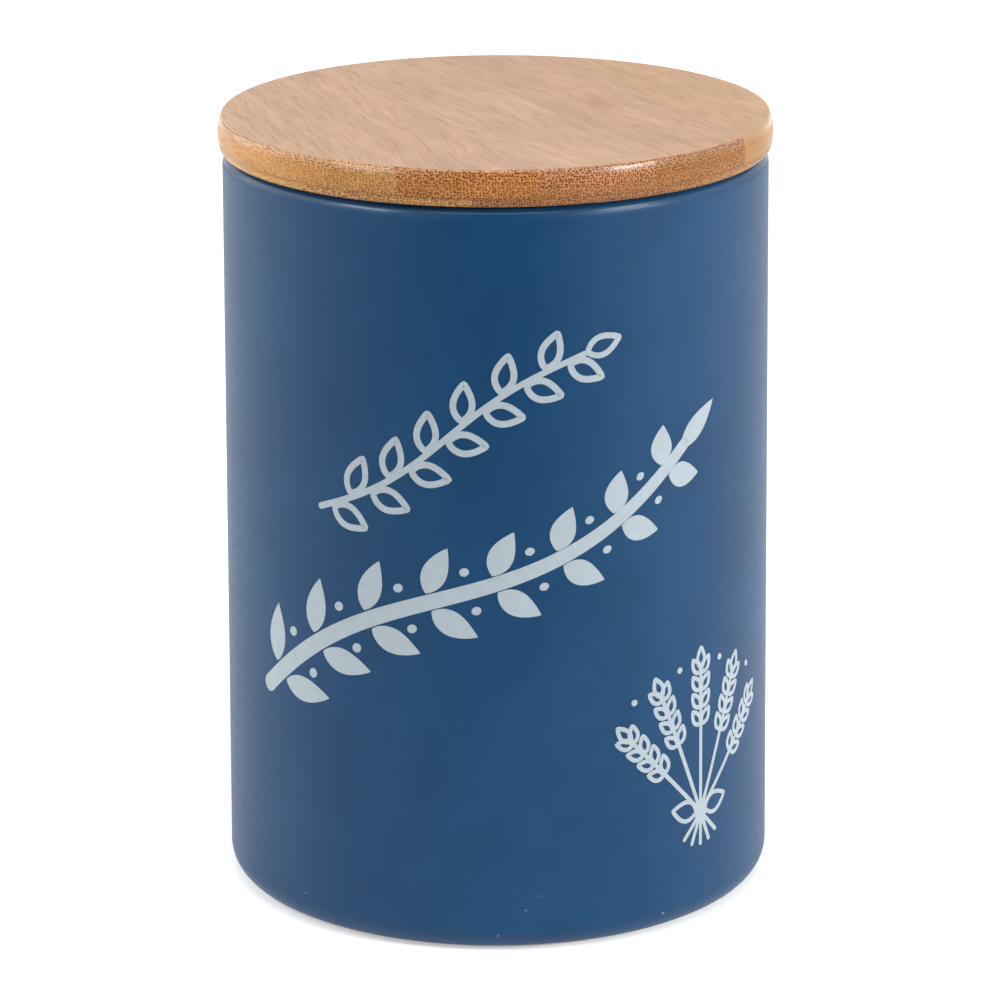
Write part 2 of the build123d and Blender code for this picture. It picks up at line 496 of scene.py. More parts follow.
    def graded_bundles(self, tree: Tree, grain: Any, height: Any) -> Any:
        """Marks the bundles, large and dark towards the culm's skin and fine and pale towards its inside.

        Args:
            tree: The strip's node tree.
            grain: Position across, along and up, in millimetres.
            height: Height in millimetres.

        Returns:
            A mask of the bundles.
        """
        coarse = self.bundles(tree, grain, self.coarse_pitch_mm, *self.coarse_dot)
        fine = self.bundles(tree, grain, self.fine_pitch_mm, *self.fine_dot)
        share = add_node(tree, MAP_RANGE, {0: height, 1: self.ply_bottom_mm, 2: self.ply_top_mm})
        upper = add_node(tree, MAP_RANGE,
                         {0: share, 1: self.tone.dense_from - 0.2, 2: self.tone.dense_from + 0.2},
                         interpolation_type="SMOOTHSTEP")
        return add_node(tree, MAP_RANGE, {0: upper, 3: fine, 4: coarse})

    def stain(self, tree: Tree, board: Any, streaks: Any) -> Any:
        """Marks a soft brown growth mark that frays along the grain.

        Args:
            tree: The strip's node tree.
            board: Position across, along and up, in millimetres.
            streaks: Noise that frays its edge.

        Returns:
            A mask of the mark.
        """
        middle = (*self.tone.stain_mm, self.ply_top_mm)
        width, length = self.stain_size_mm
        away = add_node(tree, VECTOR_MATH, {0: board, 1: middle}, operation="SUBTRACT")
        away = add_node(tree, VECTOR_MATH, {0: away, 1: (1 / width, 1 / length, 0.0)}, operation="MULTIPLY")
        away = add_node(tree, VECTOR_MATH, {0: away}, "Value", operation="LENGTH")
        away = add_node(tree, MATH, {0: streaks, 1: 1.2, 2: away}, operation="MULTIPLY_ADD")
        return add_node(tree, MAP_RANGE, {0: away, 1: 1.7, 2: 0.7, 4: self.stain_strength},
                        interpolation_type="SMOOTHSTEP")

    def glue_lines(self, tree: Tree, across: Any, height: Any, patches: Any) -> Any:
        """Marks the soft glue lines between the plies and the fine ones between the strips.

        Args:
            tree: The strip's node tree.
            across: Distance across the grain in millimetres.
            height: Height in millimetres.
            patches: Noise that makes a line stronger here and weaker there.

        Returns:
            A mask of the glue.
        """
        mask = 0.0
        lines = [(height, place, *self.ply_glue) for place in self.glue_heights_mm]
        lines += [(across, place, *self.joint_glue) for place in self.joints_mm]
        for measure, place, half_width, strength in lines:
            away = add_node(tree, MATH, {0: measure, 1: place}, operation="SUBTRACT")
            away = add_node(tree, MATH, {0: away}, operation="ABSOLUTE")
            stripe = add_node(tree, MAP_RANGE, {0: away, 1: half_width, 2: 0.2 * half_width, 4: strength},
                              interpolation_type="SMOOTHSTEP")
            mask = add_node(tree, MATH, {0: mask, 1: stripe}, operation="MAXIMUM")
        patchy = add_node(tree, MAP_RANGE, {0: patches, 1: 0.35, 2: 0.65, 3: 0.35, 4: 1.0})
        return add_node(tree, MATH, {0: mask, 1: patchy}, operation="MULTIPLY")


@dataclass(frozen=True)
class SealSilicone:
    """Moulded food-grade silicone: milky, soft-looking, with the faint grain of its steel mould."""

    colour_hex: str = "#DDE0DC"
    grain_size_mm: float = 0.35  # the mould's grain is finer than shows, so it is drawn this coarse
    grain_relief_mm: float = 0.01
    glow_depth_mm: float = 1.5
    roughness: float = 0.42

    def material(self) -> bpy.types.Material:
        """Builds the seal's material.

        Returns:
            The milky silicone.
        """
        material, tree = new_material("silicone_milky_moulded")
        place = add_node(tree, "ShaderNodeTexCoord", out="Object")
        grain = add_node(tree, "ShaderNodeTexNoise",
                         {"Vector": place, "Scale": 1 / (self.grain_size_mm * MM)})
        tint = add_node(tree, MAP_RANGE, {0: grain, 3: 0.94, 4: 1.04})
        colour = add_node(tree, VECTOR_MATH, {0: linear(self.colour_hex)[:3], "Scale": tint},
                          operation="SCALE")
        rough = add_node(tree, MAP_RANGE, {0: grain, 3: self.roughness - 0.05, 4: self.roughness + 0.08})
        normal = add_node(tree, "ShaderNodeBump",
                          {"Strength": 0.2, "Distance": self.grain_relief_mm * MM, "Height": grain})
        shader = add_node(tree, "ShaderNodeBsdfPrincipled",
                          {"Base Color": colour, "Roughness": rough, "Normal": normal, "IOR": 1.41,
                           "Subsurface Weight": 0.25, "Subsurface Scale": self.glow_depth_mm * MM})
        add_node(tree, "ShaderNodeOutputMaterial", {"Surface": shader})
        return material


@dataclass(frozen=True)
class TransferEnamel:
    """Pale enamel of a fired water-slide transfer: opaque, flat and a little smoother than the glaze."""

    colour_hex: str = "#A7B3BB"
    mottle_size_mm: float = 1.6
    roughness: float = 0.40
    specular_level: float = 0.32

    def material(self) -> bpy.types.Material:
        """Builds the print's material.

        Returns:
            The pale enamel.
        """
        material, tree = new_material("enamel_transfer_pale_grey")
        place = add_node(tree, "ShaderNodeTexCoord", out="Object")
        mottle = add_node(tree, "ShaderNodeTexNoise",
                          {"Vector": place, "Scale": 1 / (self.mottle_size_mm * MM)})
        tint = add_node(tree, MAP_RANGE, {0: mottle, 1: 0.3, 2: 0.7, 3: 0.95, 4: 1.04})
        colour = add_node(tree, VECTOR_MATH, {0: linear(self.colour_hex)[:3], "Scale": tint},
                          operation="SCALE")
        rough = add_node(tree, MAP_RANGE, {0: mottle, 3: self.roughness - 0.05, 4: self.roughness + 0.05})
        shader = add_node(tree, "ShaderNodeBsdfPrincipled",
                          {"Base Color": colour, "Roughness": rough, "IOR": 1.5,
                           "Specular IOR Level": self.specular_level})
        add_node(tree, "ShaderNodeOutputMaterial", {"Surface": shader})
        return material


# ---------------------------------------------------------------------------------------------------
# Print


@dataclass(frozen=True)
class Stroke:
    """One painted line on the unrolled wall: (along, up, half width) of its points in millimetres."""

    points: tuple[tuple[float, float, float], ...]
    closed: bool = False


def curve_object(name: str, strokes: list[Stroke]) -> bpy.types.Object:
    """Makes a curve with one spline for each stroke, its half width kept as the points' radius.

    Each stroke lies a hair above the one before, so that strokes that cross don't share a surface.

    Args:
        name: Name of the curve.
        strokes: The strokes, in millimetres.

    Returns:
        The curve's object, linked to the scene.
    """
    curve = bpy.data.curves.new(name, "CURVE")
    curve.dimensions = "3D"
    for layer, stroke in enumerate(strokes):
        spline = curve.splines.new("POLY")
        spline.points.add(len(stroke.points) - 1)
        spline.use_cyclic_u = stroke.closed
        for point, (along, up, half_width) in zip(spline.points, stroke.points):
            point.co = (along * MM, up * MM, layer * LAYER_MM * MM, 1.0)
            point.radius = half_width * MM
    piece = bpy.data.objects.new(name, curve)
    bpy.context.scene.collection.objects.link(piece)
    return piece


def add_input(tree: Tree, name: str, kind: str) -> None:
    """Adds a named input to a geometry tree."""
    tree.interface.new_socket(name, in_out="INPUT", socket_type=kind)


def apply_tree(source: bpy.types.Object, tree: Tree, values: dict[str, Any]) -> bpy.types.Mesh:
    """Runs a geometry tree on an object and keeps the result as a plain mesh.

    Args:
        source: Object whose geometry the tree takes. It is removed.
        tree: The geometry tree.
        values: Value for each of the tree's named inputs.

    Returns:
        The finished mesh.
    """
    modifier = source.modifiers.new(tree.name, "NODES")
    modifier.node_group = tree
    sockets = {item.name: item.identifier for item in tree.interface.items_tree if item.in_out == "INPUT"}
    for name, value in values.items():
        modifier[sockets[name]] = value
    bpy.context.view_layer.update()
    graph = bpy.context.evaluated_depsgraph_get()
    mesh = bpy.data.meshes.new_from_object(source.evaluated_get(graph), depsgraph=graph)
    source.modifiers.remove(modifier)
    bpy.data.objects.remove(source)
    return mesh


@dataclass(frozen=True)
class JarWall:
    """The jar's straight outer wall between its base round and its lip round."""

    low_radius: float
    low_height: float
    high_radius: float
    high_height: float

    @classmethod
    def of_frame(cls) -> "JarWall":
        """Reads the two ends of the straight wall from the CAD mesh.

        Returns:
            The wall, in metres.
        """
        rings = [(math.hypot(v.co.x, v.co.y), v.co.z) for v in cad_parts["jar_body"].data.vertices]
        top = max(height for _, height in rings)
        low = max(rings)
        high = max(ring for ring in rings if ring[1] > 0.9 * top)
        return cls(*low, *high)

    @property
    def taper(self) -> float:
        """How much the radius shrinks for each metre of height."""
        return (self.low_radius - self.high_radius) / (self.high_height - self.low_height)

    @property
    def foot_radius(self) -> float:
        """Radius of the wall's line carried down to the shelf."""
        return self.low_radius + self.taper * self.low_height


class FilmTree:
    """Geometry Nodes that turn flat strokes into a thin film of enamel wrapped on the jar's wall."""

    merge_mm = 0.002
    crisp_edge = math.radians(35)
    ribbon_points = 5

    def __init__(self, name: str, repeats: bool) -> None:
        """Starts the tree.

        Args:
            name: Name of the tree.
            repeats: Whether the strokes are copies of a motif along a guide.
        """
        self.tree = bpy.data.node_groups.new(name, "GeometryNodeTree")
        self.repeats = repeats

    def build(self) -> Tree:
        """Builds the tree, from the strokes to the finished film.

        Returns:
            The finished tree.
        """
        tree = self.tree
        add_input(tree, "Strokes", "NodeSocketGeometry")
        for name in ("Point spacing", "Film height", "Film root", "Foot radius", "Taper"):
            add_input(tree, name, "NodeSocketFloat")
        add_input(tree, "Enamel", "NodeSocketMaterial")
        if self.repeats:
            add_input(tree, "Motif", "NodeSocketObject")
            add_input(tree, "Copies", "NodeSocketInt")
            add_input(tree, "Lean", "NodeSocketFloat")
            add_input(tree, "Tip size", "NodeSocketFloat")
        tree.interface.new_socket("Film", in_out="OUTPUT", socket_type="NodeSocketGeometry")
        given = tree.nodes.new("NodeGroupInput").outputs
        strokes = self.copies(given) if self.repeats else given["Strokes"]
        ribbon = self.ribbon(strokes, given["Point spacing"])
        film = self.wrap(self.thicken(ribbon, given), given)
        film = add_node(tree, "GeometryNodeMergeByDistance", {0: film, "Distance": self.merge_mm * MM})
        bend = add_node(tree, "GeometryNodeInputMeshEdgeAngle")
        crisp = add_node(tree, "FunctionNodeCompare", {0: bend, 1: self.crisp_edge}, operation="GREATER_THAN")
        film = add_node(tree, "GeometryNodeSetShadeSmooth", {0: film, "Shade Smooth": True}, domain="FACE")
        film = add_node(tree, "GeometryNodeSetShadeSmooth", {0: film, 1: crisp, "Shade Smooth": False},
                        domain="EDGE")
        film = add_node(tree, "GeometryNodeRealizeInstances", {0: film})
        film = add_node(tree, "GeometryNodeSetMaterial", {0: film, "Material": given["Enamel"]})
        add_node(tree, "NodeGroupOutput", {0: film})
        return tree

    def copies(self, given: Any) -> Any:
        """Sets copies of the motif along the guide, leaning to either side of it in turn.

        Each copy lies a hair above the one before, so that copies that cross don't share a surface.

        Args:
            given: The tree's inputs by name.

        Returns:
            The copies' strokes.
        """
        tree = self.tree
        points = tree.nodes.new("GeometryNodeCurveToPoints")
        points.mode = "COUNT"
        tree.links.new(given["Strokes"], points.inputs["Curve"])
        tree.links.new(given["Copies"], points.inputs["Count"])
        motif = add_node(tree, "GeometryNodeObjectInfo", {0: given["Motif"], "As Instance": True},
                         "Geometry")
        index = add_node(tree, "GeometryNodeInputIndex")
        turn = add_node(tree, MATH, {0: index, 1: 2.0}, operation="MODULO")
        turn = add_node(tree, MATH, {0: turn, 1: 2.0, 2: -1.0}, operation="MULTIPLY_ADD")
        lean = add_node(tree, MATH, {0: turn, 1: given["Lean"]}, operation="MULTIPLY")
        heading = add_node(tree, "FunctionNodeAlignRotationToVector", {"Vector": points.outputs["Tangent"]},
                           axis="X", pivot_axis="Z")
        aside = add_node(tree, "FunctionNodeAxisAngleToRotation", {"Axis": (0, 0, 1), "Angle": lean})
        rotation = add_node(tree, "FunctionNodeRotateRotation", {0: heading, 1: aside},
                            rotation_space="LOCAL")
        last = add_node(tree, MATH, {0: given["Copies"], 1: 1.0}, operation="SUBTRACT")
        size = add_node(tree, MAP_RANGE, {0: index, 2: last, 3: 1.0, 4: given["Tip size"]})
        placed = add_node(tree, "GeometryNodeInstanceOnPoints",
                          {"Points": points.outputs["Points"], "Instance": motif, "Rotation": rotation,
                           "Scale": size})
        layer = add_node(tree, MATH, {0: index, 1: 1.0}, operation="ADD")
        layer = add_node(tree, MATH, {0: layer, 1: 2 * LAYER_MM * MM}, operation="MULTIPLY")
        layer = add_node(tree, "ShaderNodeCombineXYZ", {"Z": layer})
        placed = add_node(tree, "GeometryNodeTranslateInstances",
                          {0: placed, "Translation": layer, "Local Space": False})
        return add_node(tree, "GeometryNodeRealizeInstances", {0: placed})

    def ribbon(self, strokes: Any, spacing: Any) -> Any:
        """Widens each stroke to a flat ribbon with rounded ends.

        Args:
            strokes: The strokes, with their half width as radius.
            spacing: Distance between points along a stroke.

        Returns:
            The flat ribbons.
        """
        tree = self.tree
        fine = add_node(tree, "GeometryNodeResampleCurve", {0: strokes, "Length": spacing}, mode="LENGTH")
        length = add_node(tree, "GeometryNodeSplineLength")
        run = add_node(tree, "GeometryNodeSplineParameter", out="Length")
        left = add_node(tree, MATH, {0: length, 1: run}, operation="SUBTRACT")
        end = add_node(tree, MATH, {0: run, 1: left}, operation="MINIMUM")
        half_width = add_node(tree, "GeometryNodeInputRadius")
        share = add_node(tree, MATH, {0: end, 1: half_width}, operation="DIVIDE", use_clamp=True)
        short = add_node(tree, MATH, {0: 1.0, 1: share}, operation="SUBTRACT")
        square = add_node(tree, MATH, {0: short, 1: short}, operation="MULTIPLY")
        square = add_node(tree, MATH, {0: 1.0, 1: square}, operation="SUBTRACT")
        cap = add_node(tree, MATH, {0: square}, operation="SQRT")
        loop = add_node(tree, "GeometryNodeInputSplineCyclic")
        cap = add_node(tree, MATH, {0: cap, 1: loop}, operation="MAXIMUM")
        scale = add_node(tree, MATH, {0: half_width, 1: cap}, operation="MULTIPLY")
        upright = add_node(tree, "GeometryNodeSetCurveNormal", {0: fine}, mode="Z_UP")
        across = add_node(tree, "GeometryNodeCurvePrimitiveLine", {"Start": (-1, 0, 0), "End": (1, 0, 0)})
        across = add_node(tree, "GeometryNodeResampleCurve", {0: across, "Count": self.ribbon_points},
                          mode="COUNT")
        return add_node(tree, "GeometryNodeCurveToMesh", {0: upright, 1: across, "Scale": scale})

    def thicken(self, ribbon: Any, given: Any) -> Any:
        """Gives the flat ribbon its height, so that it is closed all round.

        Args:
            ribbon: The flat ribbons.
            given: The tree's inputs by name.

        Returns:
            The ribbons as closed solids, still flat.
        """
        tree = self.tree
        height = add_node(tree, MATH, {0: given["Film height"], 1: given["Film root"]}, operation="ADD")
        lift = add_node(tree, "ShaderNodeCombineXYZ", {"Z": height})
        merged = add_node(tree, "GeometryNodeMergeByDistance", {0: ribbon, "Distance": self.merge_mm * MM})
        raised = add_node(tree, "GeometryNodeExtrudeMesh",
                          {0: merged, "Offset": lift, "Offset Scale": 1.0, "Individual": False}, mode="FACES")
        under = add_node(tree, "GeometryNodeFlipFaces", {0: merged})
        join = tree.nodes.new("GeometryNodeJoinGeometry")
        tree.links.new(raised, join.inputs[0])
        tree.links.new(under, join.inputs[0])
        return join.outputs[0]

    def wrap(self, film: Any, given: Any) -> Any:
        """Bends the flat film round the jar: its X becomes an arc and its Z stands off the wall.

        Args:
            film: The flat film.
            given: The tree's inputs by name.

        Returns:
            The film on the wall.
        """
        tree = self.tree
        place = tree.nodes.new("ShaderNodeSeparateXYZ")
        tree.links.new(add_node(tree, "GeometryNodeInputPosition"), place.inputs[0])
        along, up, off = place.outputs
        angle = add_node(tree, MATH, {0: along, 1: given["Foot radius"]}, operation="DIVIDE")
        narrowing = add_node(tree, MATH, {0: up, 1: given["Taper"]}, operation="MULTIPLY")
        radius = add_node(tree, MATH, {0: given["Foot radius"], 1: narrowing}, operation="SUBTRACT")
        radius = add_node(tree, MATH, {0: radius, 1: off}, operation="ADD")
        radius = add_node(tree, MATH, {0: radius, 1: given["Film root"]}, operation="SUBTRACT")
        sine = add_node(tree, MATH, {0: angle}, operation="SINE")
        cosine = add_node(tree, MATH, {0: angle}, operation="COSINE")
        back = add_node(tree, MATH, {0: radius, 1: -1.0}, operation="MULTIPLY")
        x = add_node(tree, MATH, {0: radius, 1: sine}, operation="MULTIPLY")
        y = add_node(tree, MATH, {0: back, 1: cosine}, operation="MULTIPLY")
        wrapped = add_node(tree, "ShaderNodeCombineXYZ", {"X": x, "Y": y, "Z": up})
        return add_node(tree, "GeometryNodeSetPosition", {0: film, "Position": wrapped})


def leaf_half_width(share: float) -> float:
    """Half width of a leaf at a share of its length, over its greatest."""
    return max(math.sin(math.pi * share**0.8), 0.0) ** 0.9


def leaf(length: float, half_width: float, gap: float, bend: float = 0.0, steps: int = 24) -> Stroke:
    """A solid leaf that points along +X.

    Args:
        length: Length of the leaf in millimetres.
        half_width: Greatest half width in millimetres.
        gap: Bare distance from the origin to the leaf's root in millimetres.
        bend: How far its tip bends to the left, in millimetres.
        steps: Number of pieces along it.

    Returns:
        The leaf as one stroke that swells and narrows.
    """
    shares = [step / steps for step in range(steps + 1)]
    return Stroke(tuple((gap + length * t, bend * t**2, half_width * leaf_half_width(t)) for t in shares))


def leaf_outline(length: float, half_width: float, gap: float, line: float, steps: int = 24) -> Stroke:
    """The outline of a leaf or grain that points along +X.

    Args:
        length: Length of the leaf in millimetres.
        half_width: Greatest half width in millimetres.
        gap: Bare distance from the origin to the leaf's root in millimetres.
        line: Half width of the line in millimetres.
        steps: Number of pieces along each side.

    Returns:
        The outline as a closed stroke.
    """
    shares = [step / steps for step in range(steps + 1)]
    there = [(gap + length * t, half_width * leaf_half_width(t), line) for t in shares]
    return Stroke(tuple(there + [(x, -y, line) for x, y, line in there[-2:0:-1]]), closed=True)


def dot(radius: float, along: float = 0.0, up: float = 0.0) -> Stroke:
    """A round dot about a point, as a stroke as long as it is wide."""
    return Stroke(tuple((along + radius * share, up, radius) for share in (-1.0, -0.5, 0.0, 0.5, 1.0)))


def straight(start: Vector, end: Vector, half_width: float) -> Stroke:
    """A straight stroke between two points."""
    return Stroke(((start.x, start.y, half_width), (end.x, end.y, half_width)))


def turned(stroke: Stroke, degrees: float, centre: Vector = Vector((0.0, 0.0))) -> Stroke:
    """Turns a stroke about the origin and then moves the origin.

    Args:
        stroke: The stroke to turn.
        degrees: Angle of the turn, anticlockwise.
        centre: Where the origin goes.

    Returns:
        The turned stroke.
    """
    cosine, sine = math.cos(math.radians(degrees)), math.sin(math.radians(degrees))
    return Stroke(tuple((centre.x + x * cosine - y * sine, centre.y + x * sine + y * cosine, half_width)
                        for x, y, half_width in stroke.points), stroke.closed)


@dataclass(frozen=True)
class Stem:
    """A swaying stem, flat on the unrolled wall, in millimetres."""

    start: tuple[float, float]
    end: tuple[float, float]
    swing: float
    root_half_width: float
    tip_half_width: float

    def place(self, share: float) -> Vector:
        """Finds a point on the stem's middle line.

        Args:
            share: Share of the stem's length, from its root.

        Returns:
            The point.
        """
        run = Vector(self.end) - Vector(self.start)
        side = Vector((-run.y, run.x)).normalized()
        return Vector(self.start) + run * share + side * self.swing * math.sin(2 * math.pi * share)

    def heading(self, share: float) -> float:
        """Finds the stem's direction.

        Args:
            share: Share of the stem's length, from its root.

        Returns:
            The direction in degrees, anticlockwise from +X.
        """
        ahead = self.place(share + 0.01) - self.place(share - 0.01)
        return math.degrees(math.atan2(ahead.y, ahead.x))

    def stroke(self, first: float = 0.0, last: float = 1.0, steps: int = 80) -> Stroke:
        """The stem between two shares of its length.

        Args:
            first: Share of the length at which the stroke starts.
            last: Share at which it ends.
            steps: Number of pieces.

        Returns:
            The stem, which narrows towards its tip.
        """
        shares = [first + (last - first) * step / steps for step in range(steps + 1)]
        thinning = self.tip_half_width - self.root_half_width
        return Stroke(tuple((*self.place(share), self.root_half_width + thinning * share)
                            for share in shares))


@dataclass
class PrintedTransfer:
    """The pale print on the jar's front: a bold leafy branch, a fine sprig and a sheaf of ears.

    The film stands film_mm off the wall, and its underside lies root_mm inside it. berry_share is how far
    each berry stands from one pair of leaves towards the next. ear_mm holds where the paired grains of an
    ear begin and end, below the grain at its tip.
    """

    wall: JarWall
    enamel: bpy.types.Material
    spacing_mm: float = 0.2
    film_mm: float = 0.035
    root_mm: float = 0.06
    branch: Stem = Stem((-52.0, 45.0), (39.0, 96.0), swing=3.6, root_half_width=1.7, tip_half_width=1.2)
    branch_pairs: int = 8
    berry_share: float = 0.74
    sprig: Stem = Stem((-36.0, 84.0), (17.0, 115.5), swing=-1.8, root_half_width=0.62, tip_half_width=0.55)
    sprig_leaves: int = 13
    sheaf_tie_mm: tuple[float, float] = (43.0, 22.0)
    sheaf_headings: tuple[float, ...] = (134.0, 112.0, 90.0, 68.0, 46.0)
    sheaf_lengths_mm: tuple[float, ...] = (24.0, 26.5, 28.0, 26.5, 24.0)
    sheaf_foot_mm: float = 6.8
    ear_mm: tuple[float, float] = (11.0, 0.8)
    ear_pairs: int = 4
    berry_ring_mm: float = 30.0
    fine_line_mm: float = 0.42

    def __post_init__(self) -> None:
        """Builds the two trees that every part of the print shares."""
        self.plain = FilmTree("enamel_strokes", repeats=False).build()
        self.repeat = FilmTree("enamel_motifs_along_guide", repeats=True).build()

    def film(self, name: str, strokes: list[Stroke], motif: list[Stroke] | None = None, copies: int = 0,
             lean: float = 0.0, tip_size: float = 1.0) -> bpy.types.Mesh:
        """Makes one part of the print.

        Args:
            name: Name of the part.
            strokes: Its strokes, or the guides that its motifs follow.
            motif: The motif to repeat, pointing along +X from the guide.
            copies: How many motifs each guide carries.
            lean: Angle of the motif to the guide, to either side in turn, in degrees.
            tip_size: Size of the last copy over that of the first.

        Returns:
            The part's mesh, wrapped on the wall.
        """
        values = {"Point spacing": self.spacing_mm * MM, "Film height": self.film_mm * MM,
                  "Film root": self.root_mm * MM, "Foot radius": self.wall.foot_radius,
                  "Taper": self.wall.taper, "Enamel": self.enamel}
        source = curve_object(name, strokes)
        if motif is None:
            return apply_tree(source, self.plain, values)
        pattern = curve_object(f"{name}_motif", motif)
        values |= {"Motif": pattern, "Copies": copies, "Lean": math.radians(lean), "Tip size": tip_size}
        mesh = apply_tree(source, self.repeat, values)
        bpy.data.objects.remove(pattern)
        return mesh

    def branch_parts(self) -> list[bpy.types.Mesh]:
        """Makes the bold branch with its leaves in pairs and a berry to either side between them.

        Returns:
            The meshes of the branch.
        """
        stem, first, last = self.branch, 0.05, 0.92
        apart = (last - first) / (self.branch_pairs - 1)
        pair = [turned(leaf(length=11.5, half_width=2.4, gap=2.7, bend=-side * 0.7), side * 50.0)
                for side in (-1, 1)]
        berries = [turned(dot(radius=0.95, along=4.4), side * 90.0) for side in (-1, 1)]
        tip = turned(leaf(length=11.8, half_width=2.0, gap=-2.2), stem.heading(0.99), stem.place(1.0))
        between = stem.stroke(first + self.berry_share * apart, last - (1 - self.berry_share) * apart)
        return [self.film("branch_stem", [stem.stroke(), tip]),
                self.film("branch_leaves", [stem.stroke(first, last)], pair, self.branch_pairs,
                          tip_size=0.66),
                self.film("branch_berries", [between], berries, self.branch_pairs - 1, tip_size=0.75)]

    def sprig_parts(self) -> list[bpy.types.Mesh]:
        """Makes the fine sprig with its outlined leaves to either side in turn.

        Returns:
            The meshes of the sprig.
        """
        stem = self.sprig
        outline = leaf_outline(length=7.4, half_width=1.9, gap=1.1, line=stem.root_half_width)
        tip = leaf_outline(length=6.6, half_width=1.7, gap=0.2, line=stem.tip_half_width)
        tip = turned(tip, stem.heading(0.99), stem.place(1.0))
        return [self.film("sprig_stem", [stem.stroke(), tip]),
                self.film("sprig_leaves", [stem.stroke(0.05, 0.93)], [outline], self.sprig_leaves,
                          lean=46.0, tip_size=0.9)]

    def sheaf_parts(self) -> list[bpy.types.Mesh]:
        """Makes the sheaf of ears with fine lines, tied in a bow.

        Returns:
            The meshes of the sheaf.
        """
        tie, fine = Vector(self.sheaf_tie_mm), self.fine_line_mm
        ear_start, ear_end = self.ear_mm
        strokes, guides = [], []
        for heading, length in zip(self.sheaf_headings, self.sheaf_lengths_mm):
            aim = Vector((math.cos(math.radians(heading)), math.sin(math.radians(heading))))
            strokes.append(straight(tie - aim * self.sheaf_foot_mm, tie + aim * length, fine))
            tip_grain = leaf_outline(length=4.0, half_width=1.0, gap=0.7, line=fine)
            strokes.append(turned(tip_grain, heading, tie + aim * length))
            guides.append(straight(tie + aim * (length - ear_start), tie + aim * (length - ear_end), fine))
        bow_loop = leaf_outline(length=6.2, half_width=1.9, gap=1.4, line=fine)
        strokes += [turned(bow_loop, angle, tie) for angle in (14.0, 166.0)]
        strokes.append(dot(1.7, *tie))
        between = [(a + b) / 2 for a, b in zip(self.sheaf_headings, self.sheaf_headings[1:])]
        strokes += [turned(dot(radius=0.65, along=self.berry_ring_mm), heading, tie) for heading in between]
        grain = leaf_outline(length=3.5, half_width=0.95, gap=0.8, line=fine)
        pair = [turned(grain, side * 34.0) for side in (-1, 1)]
        return [self.film("sheaf_lines", strokes),
                self.film("sheaf_grains", guides, pair, self.ear_pairs, tip_size=0.95)]

    def build(self) -> None:
        """Joins each part of the print into one named piece and sets it on the jar."""
        for name, meshes in (("print_branch", self.branch_parts()), ("print_sprig", self.sprig_parts()),
                             ("print_sheaf", self.sheaf_parts())):
            piece = joined(name, meshes)
            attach(piece, "jar")
            log.info("%s: %d faces", name, len(piece.data.polygons))


def joined(name: str, meshes: list[bpy.types.Mesh]) -> bpy.types.Object:
    """Joins meshes into one piece at the origin.

    Args:
        name: Name of the piece.
        meshes: The meshes, all with the same material.

    Returns:
        The piece, linked to the scene.
    """
    parts = [bpy.data.objects.new(name, mesh) for mesh in meshes]
    for part in parts:
        bpy.context.scene.collection.objects.link(part)
    if len(parts) > 1:
        with bpy.context.temp_override(active_object=parts[0], selected_editable_objects=parts):
            bpy.ops.object.join()
    parts[0].name = parts[0].data.name = name
    return parts[0]


# ---------------------------------------------------------------------------------------------------
# Sub-assemblies


@dataclass
class StonewareJar:
    """The jar: its glazed body and the print on its front."""

    glaze: StonewareGlaze = StonewareGlaze()
    enamel: TransferEnamel = TransferEnamel()

    def build(self) -> None:
        """Dresses the body and makes the print."""
        dress("jar_body", self.glaze.material())
        PrintedTransfer(JarWall.of_frame(), self.enamel.material()).build()


class Ply(Enum):
    """The board's plies, from the top face down."""

    TOP = "top"
    CORE = "core"
    BASE = "base"


@dataclass
class BambooLid:
    """The lid: a board of three plies of bamboo strips, turned round and lacquered."""

    grain_angle: float = math.radians(24.0)
    top_tones: tuple[StripTone, ...] = (
        StripTone("#BD9B80", "#CB9459", 0.75, 0.60, slant=-0.15),
        StripTone("#BB987F", "#C2844F", 1.0, 0.44, slant=-0.13),
        StripTone("#BD9B81", "#BA8155", 1.0, 0.20, slant=0.06),
        StripTone("#B9967C", "#A87547", 0.90, 0.45, slant=0.08, stain_mm=(20.5, -3.5)),
        StripTone("#B99678", "#A77A45", 0.10, 1.50),
    )
    core_tones: tuple[StripTone, ...] = (
        StripTone("#B8946F", "#D2A15D", 0.6, 1.5),
        StripTone("#B8946F", "#CC9962", 0.85, 1.5),
        StripTone("#B8946F", "#AD7A51", 1.0, 1.5),
        StripTone("#B8946F", "#AE7C50", 1.0, 1.5),
        StripTone("#B8946F", "#B28251", 0.8, 1.5),
        StripTone("#B8946F", "#B68A53", 0.3, 1.5),
    )

    def across_span(self, node_name: str) -> tuple[float, float]:
        """Measures a strip across the grain.

        Args:
            node_name: Name of the strip.

        Returns:
            Its least and greatest distance from the lid's axis, in millimetres.
        """
        side = Vector((math.cos(self.grain_angle), math.sin(self.grain_angle), 0.0))
        places = [side.dot(vertex.co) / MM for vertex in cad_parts[node_name].data.vertices]
        return min(places), max(places)

    def build(self) -> None:
        """Dresses every strip of every ply."""
        seed = 0
        for ply in Ply:
            names = sorted(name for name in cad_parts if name.startswith(f"lid_{ply.value}_strip_"))
            tones = self.top_tones if ply is Ply.TOP else self.core_tones
            low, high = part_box(names[len(names) // 2])
            glued = () if ply is Ply.TOP else (high.z / MM,)
            glued += () if ply is Ply.BASE else (low.z / MM,)
            joints = [self.across_span(name)[1] for name in names[:-1]]
            for number, (name, tone) in enumerate(zip(names, tones)):
                seed += 1
                beside = tuple(joints[max(number - 1, 0) : number + 1])
                strip = BambooStrip(low.z / MM, high.z / MM, glued, beside, seed, tone)
                dress(name, strip.material(name, self.grain_angle))


